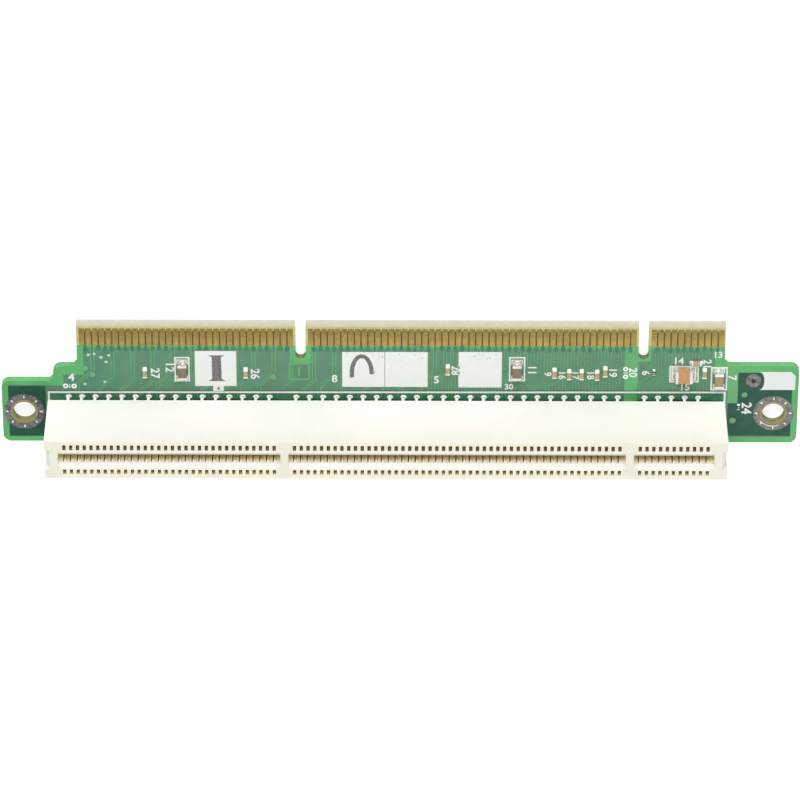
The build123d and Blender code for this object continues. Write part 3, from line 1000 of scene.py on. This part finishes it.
numbers_at = [("12", 43.6, -3.4, 2.3, 90), ("27", 46.4, -2.0, 2.3, 90), ("26", 27.5, -1.9, 2.3, 90),
              ("4", 34.4, 1.35, 1.1, 180), ("28", -10.4, -2.8, 2.1, 90), ("8", 12.4, -0.8, 2.2, 180),
              ("5", -6.9, -0.6, 2.2, 180), ("30", -20.6, 0.9, 1.7, 180),
              ("11", -24.9, -2.9, 2.2, 90), ("9", -27.9, -2.0, 1.9, 90), ("16", -30.6, -1.8, 1.9, 90),
              ("17", -33.1, -1.8, 1.9, 90), ("18", -36.0, -1.8, 1.9, 90), ("19", -40.2, -2.4, 2.1, 90),
              ("20", -44.0, -2.4, 2.1, 90), ("6", -46.4, -2.3, 2.0, 90), ("14", -52.6, -4.9, 2.1, 180),
              ("15", -53.9, 0.9, 2.1, 180), ("21", -58.0, -4.3, 2.1, 90), ("13", -60.0, -6.3, 1.9, 180),
              ("7", -62.8, -1.3, 2.2, 90), ("24", -65.7, 5.5, 2.6, 90), ("4", 62.2, -1.0, 2.4, 180)]
SMALL = 1.2
numbers = [number_mesh(text, x, y, size, turned, mask_dark if size < SMALL else ink,
                       lift=INK + (PRINT if size < SMALL else 0))
           for text, x, y, size, turned in numbers_at]
keep("ink_numbers", join("ink numbers", numbers))

# %% Stamped figures on two of the patches: a one with long feet, and a nought that printed faintly
def ring_part(x, y, wide, high, line, first, last, steps=40):
    """Part of an oval ring between two angles in degrees, measured from the right."""
    angles = [math.radians(first + (last - first) * n / steps) for n in range(steps + 1)]
    outer = [(x + wide / 2 * math.cos(a), y + high / 2 * math.sin(a)) for a in angles]
    inner = [(x + (wide / 2 - line) * math.cos(a), y + (high / 2 - line) * math.sin(a)) for a in angles]
    return outer + inner[::-1]


one = [(36.3, -6.0), (35.6, -5.6), (35.55, -0.8), (36.3, -0.3), (33.0, -0.3), (33.75, -0.8), (33.85, -5.6),
       (33.2, -6.0)]
nought = ring_part(7.25, -2.1, 4.6, 8.4, 0.85, 177, 374)
flat_print("stamped_figures", [one, nought], INK + PRINT, stamp_ink)
speck = lathe("speck", [(0.09, 0.0), (0.09, PRINT)], stamp_ink, sides=7)
scatter = random.Random(7)
speck_at = [(scatter.uniform(-4.8, 10.4), -6.5 + 4.5 * scatter.random() ** 1.8) for n in range(16)]
speck_at = [(x, y) for x, y in speck_at if abs(x - 2.9) > 0.4]
speck_at += [(scatter.uniform(-18.6, -12.0), -6.6 + 2.5 * scatter.random() ** 1.5) for n in range(7)]
keep("ink_specks", repeat_mesh("ink specks", [speck], [(x, y, FRONT + INK + PRINT) for x, y in speck_at],
                               size_spread=0.4))

# %% [markdown]
# ## Rings round the screw holes
# The bracket's screws press on a tinned copper ring, so it has eight small plated holes to carry current
# through. Inside the ring the laminate is bare. The same ring is on the back. On the front, a bright arc on
# the plain tab's ring is a painted highlight.

# %% Rings, bare laminate and their plated holes
RING_RADIUS = 3.83
HOLE_RADIUS = 2.12
RING = 0.03
VIA_CIRCLE = 3.22
laminate = finish("bare laminate", srgb(152, 146, 96), 0.7, drift=0.10, patch=1600.0)
for face_name, face in FACES:
    for place_name, place in (("step", hole_step), ("plain", hole_plain)):
        outer, middle, inner = [circle(*place, radius)
                                for radius in (RING_RADIUS, BARE_RADIUS, HOLE_RADIUS)]
        flat_print(f"{face_name}_{place_name}_ring", [outer, middle], 2 * PRINT, tin, face=face,
                   thickness=RING)
        flat_print(f"{face_name}_{place_name}_bare", [middle, inner], 0.0, laminate, face=face)
# a painted highlight along the inner edge of the plain tab's ring
flat_print("worn_ring_edge", [ring_part(*hole_plain, 6.1, 5.9, 0.13, 36, 112)], 2 * PRINT + RING, white_tin)
ring_via = lathe("ring via", [(0.20, 0.0), (0.20, 0.05), (0.15, 0.08), (0.10, 0.06)], white_tin, sides=10)
for face_name, over, z in (("front", 0, FRONT + 0.05), ("back", math.pi, BACK - 0.05)):
    marks = []
    for x, y in (hole_step, hole_plain):
        for n in range(8):
            turn = math.radians(45 * n)
            spot = Vector((x + VIA_CIRCLE * math.cos(turn), y + VIA_CIRCLE * math.sin(turn), z)) * MM
            mark = ring_via.copy()
            mark.transform(Matrix.Translation(spot) @ Matrix.Rotation(turn, 4, "Z")
                           @ Matrix.Rotation(over, 4, "X") @ Matrix.Diagonal((1.5, 0.75, 1, 1)))
            marks.append(mark)
    keep(f"{face_name}_ring_vias", join("ring vias", marks))

# %% [markdown]
# ## Contacts
# Each contact is stamped from spring strip and bent: a tail soldered into the board, an arm that leans
# towards the slot, a rounded bump that touches the card, and a tip that turns back. The solid model has
# this as a plain tapered bar. Here a path is swept with the strip's section, with real bends. The strip is
# narrower above the body and stands against one side of its hollow, which leaves a gap on the other,
# painted on the housing as a dark slit of shade. Its tip lies in front of the bar and ends in a point
# painted white, a painted highlight. The turned-back end shows through the window as a slope in a darker
# copy of the gold, as painted shade. Outer and inner tails take turns, so each shape is repeated on every
# second step.

# %% Sweep one contact of each kind and repeat it
STRIP = 0.2
BEAM_WIDTH = 0.40
BEAM_SHIFT = -0.10
FOOT = housing_low.z + STANDOFF
BODY_AT = {"inner": 1.75, "outer": 2.7}


def side_path(side, x, points):
    """A path from (millimetres off the slot's middle, height), on one side of the slot."""
    return [(x, SLOT_LINE + side * y, z) for y, z in points]


def wedge_mesh(name, side, material):
    """The tip, white as a painted highlight: a low triangle, wide at the top, just in front of the beam's
    end.
    """
    front_y, back_y = 0.66, 0.90
    top_z, point_z = TOP - 0.98, TOP - 1.95
    corners = [(BEAM_SHIFT - 0.16, top_z), (BEAM_SHIFT + 0.20, top_z), (BEAM_SHIFT + 0.08, point_z)]
    shape = bmesh.new()
    spots = [shape.verts.new(Vector((x, SLOT_LINE + side * y, z)) * MM)
             for y in (front_y, back_y) for x, z in corners]
    for around in ((0, 1, 2), (5, 4, 3), (0, 3, 4, 1), (1, 4, 5, 2), (2, 5, 3, 0)):
        shape.faces.new([spots[n] for n in around])
    bmesh.ops.recalc_face_normals(shape, faces=shape.faces)
    return shape_mesh(name, shape, material)


# painted shade: the turned-back end seen in the window is a darker copy of the contact's gold
shaded_spring_end = finish("spring end in a window", srgb(150, 141, 100), 0.5, drift=0.2, patch=1400.0)
# painted highlight: the contact's tip is white instead of gold
highlighted = finish("highlighted tip", srgb(250, 246, 232), 0.4, metallic=0.0, drift=0.05, patch=1500.0)


def contact_shape(name, side, row):
    """One contact standing at X = 0: its strip, its shaded end seen in the window, and its highlighted tip.
    """
    reach = TAIL_ROWS[row]
    body = BODY_AT[row]
    tail = side_path(side, 0, [(reach, BACK - 0.9), (reach, FRONT + 0.9), (body, FOOT + 0.4),
                               (body, FOOT + 4.6)])
    beam = side_path(side, BEAM_SHIFT, [(body, FOOT + 4.4), (SLOT_HALF - 0.24, TOP - 3.2),
                                        (SLOT_HALF - 0.11, TOP - 2.0), (SLOT_HALF - 0.09, TOP - 1.05)])
    strip = join(name, [sweep_paths(name, [tail], CONTACT_WIDTH, STRIP, spring_gold, bend=0.25),
                        sweep_paths(name, [beam], BEAM_WIDTH, STRIP, spring_gold, bend=0.4)])
    tip = sweep_paths(name, [side_path(side, 0, [(1.80, TOP - 0.74), (2.80, TOP - 1.65)])], 0.54, 0.10,
                      shaded_spring_end)
    return [strip, tip, wedge_mesh(name, side, highlighted)]


even = [step for step in all_steps if step % 2 == 0]
odd = [step for step in all_steps if step % 2 == 1]
rows = [("edge_side", -1, "outer", even), ("edge_side", -1, "inner", odd), ("rear_side", 1, "outer", odd),
        ("rear_side", 1, "inner", even)]
for side_name, side, row, steps in rows:
    name = f"{side_name}_{row}_contacts"
    points = [(contact_x(step), 0, 0) for step in steps]
    keep("formed_" + name, repeat_mesh(name, contact_shape(name, side, row), points), replaced=(name,))

# %% [markdown]
# ## Tails, pads and solder
# On the back every tail stands in a cone of solder, and its tinned tip reaches the floor, which is what the
# card lies on. On the front the outer tails show below the housing: solder has crept up round each as a
# bright white collar, with the grey mouth of the plated hole in its middle and a brown patch of painted
# shade behind. The tail above it is tinned white as well. Its cover is a little wider than the strip
# inside, so that their sides don't fall together.

# %% Solder joints on the back
joint = lathe("solder joint", [(0.74, BACK), (0.72, BACK - 0.05), (0.50, BACK - 0.20), (0.36, BACK - 0.48),
                               (0.28, BACK - 0.82), (0.25, 0.10), (0.15, 0.005)], solder, sides=12)
for side_name, side, row, steps in rows:
    y = SLOT_LINE + side * TAIL_ROWS[row]
    name = f"{side_name}_{row}_solder"
    keep("round_" + name, repeat_mesh(name, [joint], [(contact_x(step), y, 0) for step in steps],
                                      turn_spread=6.28),
         replaced=(name,))

# %% Collars and tinned tails on the front
collar = lathe("collar", [(0.57, FRONT), (0.54, FRONT + 0.12), (0.45, FRONT + 0.24), (0.30, FRONT + 0.26)],
               white_tin, sides=16)
mouth = lathe("mouth", [(0.17, FRONT + 0.10), (0.17, FRONT + 0.265), (0.12, FRONT + 0.27)], grey_tin,
              sides=12)
mouth.transform(Matrix.Translation((0.04 * MM, -0.20 * MM, 0)))
# a brown patch of painted shade behind each collar, towards the housing
flux = lathe("flux", [(0.46, FRONT + 0.04), (0.44, FRONT + 0.10)], shade_brown, sides=14)
flux.transform(Matrix.Translation((0.0, 0.34 * MM, 0)) @ Matrix.Diagonal((1.15, 0.8, 1, 1)))
reach = TAIL_ROWS["outer"]
for side_name, side, row, steps in rows:
    if row == "inner":
        continue
    stem = side_path(side, 0, [(reach, FRONT + 0.1), (reach, FRONT + 0.9), (BODY_AT[row], FOOT + 0.35)])
    stem_mesh = sweep_paths("stem", [stem], CONTACT_WIDTH + 0.04, STRIP + 0.14, white_tin, bend=0.25)
    seat, dark_mouth, shade_patch = collar.copy(), mouth.copy(), flux.copy()
    at_tail = Matrix.Translation(Vector((-0.09, SLOT_LINE + side * reach - 0.02, 0)) * MM)
    for mesh in (seat, dark_mouth, shade_patch):
        mesh.transform(at_tail @ Matrix.Diagonal((1.1, 0.84, 1, 1)))
    keep(f"{side_name}_tinned_tails",
         repeat_mesh("tinned tails", [join("seat", [seat, stem_mesh]), dark_mouth, shade_patch],
                     [(contact_x(step), 0, 0) for step in steps]))

# %% [markdown]
# ## Chip parts and their solder
# A ceramic chip capacitor is a small block with metal ends, held by solder that wets up its ends in
# a hollow curve. The big ones have their solids already, so they only get pads and solder. The small
# ones are one block each in the solids, so here each gets a body, two ends and two fillets instead.

# %% Pads and solder of the big chips
def fillet_wedge(name, low, high, axis, sign, material):
    """Solder that climbs a chip's end: low at its outer edge, high at the chip."""
    shape = bmesh.new()
    steps = 5
    columns = []
    for n in range(steps + 1):
        part = n / steps
        height = (1 - part) ** 2.2
        at_chip, outer = (low[axis], high[axis]) if sign > 0 else (high[axis], low[axis])
        place = at_chip + (outer - at_chip) * part
        other = 1 - axis
        narrow = 0.12 * part * (high[other] - low[other])
        for side_at in (low[other] + narrow, high[other] - narrow):
            for z in (low[2], low[2] + 0.02 + (high[2] - low[2]) * height):
                spot = [0, 0, z]
                spot[axis] = place
                spot[other] = side_at
                columns.append(shape.verts.new(Vector(spot) * MM))
    for n in range(steps):
        a, b, c, d = columns[4 * n:4 * n + 4]
        e, f, g, h = columns[4 * n + 4:4 * n + 8]
        for corners in ((a, b, f, e), (c, g, h, d), (b, d, h, f), (a, e, g, c)):
            shape.faces.new(corners)
    shape.faces.new((columns[0], columns[2], columns[3], columns[1]))
    shape.faces.new((columns[-4], columns[-3], columns[-1], columns[-2]))
    bmesh.ops.recalc_face_normals(shape, faces=shape.faces)
    for face in shape.faces:
        face.smooth = True
    return shape_mesh(name, shape, material)


def end_corners(low, high, axis, sign, reach, aside, heights):
    """Two corners of a box at a chip's end: reach is outward along the axis, aside is how much wider."""
    at = high[axis] if sign > 0 else low[axis]
    other = 1 - axis
    first, last = [0, 0, FRONT + heights[0]], [0, 0, FRONT + heights[1]]
    first[axis], last[axis] = sorted(at + sign * out for out in reach)
    first[other], last[other] = low[other] - aside, high[other] + aside
    return first, last


UPRIGHT = {"axis": 1, "wet": 0.62, "climb": 0.95, "wet_aside": 0.10, "pad": 0.72, "pad_aside": 0.22}
LYING = {"axis": 0, "wet": 0.55, "climb": 1.1, "wet_aside": 0.05, "pad": 0.75, "pad_aside": 0.2}
big_chips = {f"capacitor_{number}_ends": UPRIGHT for number in (1, 2, 3)}
big_chips["wide_capacitor_ends"] = LYING
big_solder = []
for chip, form in big_chips.items():
    low, high = box_mm(chip)
    axis = form["axis"]
    for sign in (1, -1):
        wet = end_corners(low, high, axis, sign, (0, form["wet"]), form["wet_aside"], (0, form["climb"]))
        pad = end_corners(low, high, axis, sign, (-0.4, form["pad"]), form["pad_aside"], (0.02, 0.07))
        big_solder.append(fillet_wedge("big fillet", *wet, axis, sign, creased_tin))
        big_solder.append(soft_block("big pad", *pad, 0, solder))
keep("big_chip_solder", join("big chip solder", big_solder))

# %% Small chips: one shape each way, repeated on their places
def small_chip(name, length, width, height, body_finish, turn=0, marked=False):
    """The shapes of a chip along Y, at X = Y = 0: its body, its tinned ends with solder, and its mark."""
    half, end = length / 2, length * 0.13
    top = FRONT + height
    low, high = (-width / 2, -half), (width / 2, half)
    body = soft_block(name, (low[0], low[1] + end, FRONT + 0.05), (high[0], high[1] - end, top), 0.03,
                      body_finish, segments=1)
    ends = []
    for sign in (-1, 1):
        cap = end_corners(low, high, 1, sign, (-end, 0), 0.02, (0.04, height + 0.02))
        wet = end_corners(low, high, 1, sign, (0, 0.20 * length), 0.05, (0, height * 0.5))
        # the tinned ends and fillets are white, partly tin and partly a painted highlight of their solder
        ends.append(soft_block(name, *cap, 0.05, white_tin, segments=1))
        ends.append(fillet_wedge(name, *wet, 1, sign, white_tin))
    shapes = [body, join(name, ends)]
    if marked:
        shapes.append(lathe(name, [(0.13, top - 0.01), (0.13, top + 0.012)], ink, sides=10))
    for shape in shapes:
        shape.transform(Matrix.Rotation(math.radians(turn), 4, "Z"))
    return shapes


small_at = [(9.3, 11.1), (24.3, 11.1), (54.4, 10.3), (70.3, 11.0), (72.5, 11.3), (74.35, 11.3),
            (76.65, 11.4), (77.85, 10.65), (92.65, 10.95)]
cross_at = [(91.4, 8.6)]
resistor_at = [(85.1, 10.75), (97.9, 18.4)]


def chip_points(places):
    """Places given as (step along the fingers, millimetres from the card edge)."""
    return [(finger_x(step), board_low.y + y, 0) for step, y in places]


upright_chips = repeat_mesh("upright chips", small_chip("small chip", 1.8, 0.8, 0.62, ceramic_pale),
                            chip_points(small_at))
cross_chips = repeat_mesh("cross chips", small_chip("cross chip", 1.8, 0.9, 0.7, ceramic_pale, turn=90),
                          chip_points(cross_at))
keep("small_chip_parts", join("small chip parts", [upright_chips, cross_chips]),
     replaced=("small_capacitors",))
resistors = repeat_mesh("resistors", small_chip("resistor", 1.0, 0.5, 0.35, glaze, marked=True),
                        chip_points(resistor_at))
keep("small_resistor_parts", resistors, replaced=("small_resistors",))

# %% [markdown]
# ## Vias, test pads and bare places
# A via is a plated hole that joins two copper layers. Those left open show as bright dots, those under mask
# as faint light rings. Two places for a chip were left empty, so their pads show with a white bar between.
# The earthing pad by the plain end is a large ring, and its hole is a dark disc of painted shade.

# %% Repeat the open vias and the ones under mask
via = lathe("via", [(0.30, 0.0), (0.27, 0.04), (0.15, 0.05)], via_tin, sides=12)
open_at = [(58.90, -6.02), (57.76, -6.24), (56.46, -5.47), (55.03, -5.92), (55.55, -4.47), (59.66, 0.43),
           (55.86, -0.03)]
keep("open_vias", repeat_mesh("open vias", [via], [(x, y, FRONT + 0.03) for x, y in open_at],
                              size_spread=0.1))
covered = lathe("covered via", [(0.62, 0.0), (0.60, 0.015), (0.30, 0.016)], mask_trace, sides=18)
covered_at = [(59.65, -3.02), (58.18, -1.69), (61.6, -2.0), (-65.32, 2.54), (-63.2, 8.3), (24.0, -1.2)]
keep("covered_vias", repeat_mesh("covered vias", [covered],
                                 [(x, y, FRONT + 2 * PRINT) for x, y in covered_at], size_spread=0.12))

# %% Empty chip places, the earthing pad and the bare copper box
empty_at = [(61.75, 0.88, 0.52), (63.35, 0.88, 0.52), (-42.65, -3.15, 0.5), (-42.65, -1.45, 0.5)]
empty_pads = [loop for x, y, outer in empty_at for loop in (circle(x, y, outer, 24), circle(x, y, 0.2, 18))]
empty_bars = [rectangle(62.45, 0.5, 62.65, 1.3), rectangle(-43.05, -2.40, -42.25, -2.20)]
flat_print("empty_pads", empty_pads, 2 * PRINT, white_tin, thickness=RING)
flat_print("empty_bars", empty_bars, INK, ink)
earth_ring = lathe("earth ring", [(1.52, FRONT), (1.50, FRONT + 0.07), (1.30, FRONT + 0.10),
                                  (0.95, FRONT + 0.06), (0.72, FRONT + 0.12), (0.50, FRONT + 0.10)], tin,
                   sides=40)
# painted shade: a dark disc stands for the open hole
earth_hole = lathe("earth hole", [(0.46, FRONT + 0.02), (0.46, FRONT + 0.125), (0.30, FRONT + 0.127)],
                   hole_shade, sides=28)
earth_mesh = join("earthing pad", [earth_ring, earth_hole])
earth_mesh.transform(Matrix.Translation(Vector((*EARTH, 0)) * MM))
keep("earthing_pad", earth_mesh)
copper_box = frame_loops(17.04, -4.35, 21.07, -0.58, 0.34) + [rectangle(18.9, -3.5, 19.3, -1.5)]
flat_print("bare_copper_box", copper_box, 3 * PRINT, mask_bare)
flat_print("bare_band", [rectangle(-45.0, FINGER_END + 0.3, -42.47, 1.9)], PRINT, mask_bare)
flat_print("bare_band_under_connector", [rectangle(-45.0, 2.5, -42.47, 5.0)], 2 * PRINT, mask_bare)

# %% [markdown]
# ## Studio
# A plain white floor and two large soft lamps. The lamp behind the camera is the stronger one,
# because the connector's wall that faces the gold edge is the brightest surface. The floor is a
# little brighter to the camera than it really is, so the background is white and the shadow stays.

# %% Floor, lamps and world
def area_lamp(name, place, aim, size, power):
    lamp = bpy.data.lights.new(name, "AREA")
    lamp.size = size
    lamp.energy = power
    made = add_object(name, lamp)
    made.location = place
    made.rotation_euler = (Vector(aim) - Vector(place)).to_track_quat("-Z", "Y").to_euler()
    return made


def floor_material():
    material = bpy.data.materials.new("studio floor")
    material.use_nodes = True
    tree = material.node_tree
    shader = tree.nodes["Principled BSDF"]
    shader.inputs["Base Color"].default_value = (0.86, 0.86, 0.86, 1)
    shader.inputs["Roughness"].default_value = 0.9
    light_path = tree.nodes.new("ShaderNodeLightPath")
    seen = node(tree, "ShaderNodeMath", {"operation": "ADD", "use_clamp": True},
                _0=light_path.outputs["Is Camera Ray"], _1=light_path.outputs["Is Glossy Ray"])
    glow = node(tree, "ShaderNodeEmission", Color=(1, 1, 1, 1), Strength=0.68)
    lifted = tree.nodes.new("ShaderNodeAddShader")
    tree.links.new(shader.outputs[0], lifted.inputs[0])
    tree.links.new(glow.outputs[0], lifted.inputs[1])
    chosen = tree.nodes.new("ShaderNodeMixShader")
    tree.links.new(seen.outputs[0], chosen.inputs[0])
    tree.links.new(shader.outputs[0], chosen.inputs[1])
    tree.links.new(lifted.outputs[0], chosen.inputs[2])
    tree.links.new(chosen.outputs[0], tree.nodes["Material Output"].inputs["Surface"])
    return material


FLOOR = 6
floor_mesh = bpy.data.meshes.new("floor")
floor_mesh.from_pydata([(x, y, 0) for x, y in rectangle(-FLOOR, -FLOOR, FLOOR, FLOOR)], [], [(0, 1, 2, 3)])
floor_mesh.materials.append(floor_material())
floor = add_object("floor", floor_mesh)
floor.location.z = -0.0001
key = area_lamp("key", (0.10, -1.00, 0.62), (0, 0, 0), 0.8, 11.4)
fill = area_lamp("fill", (-0.4, 0.5, 1.0), (0, 0, 0), 1.0, 3.9)
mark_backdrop(floor, key, fill)
world = bpy.data.worlds.new("studio")
scene.world = world
world.use_nodes = True
world.node_tree.nodes["Background"].inputs["Color"].default_value = (1, 1, 1, 1)
world.node_tree.nodes["Background"].inputs["Strength"].default_value = 0.40
print("studio ready")

# %% Print the sizes and finish
low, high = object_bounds()
print("dressed size mm", [round(v / MM, 2) for v in high - low])
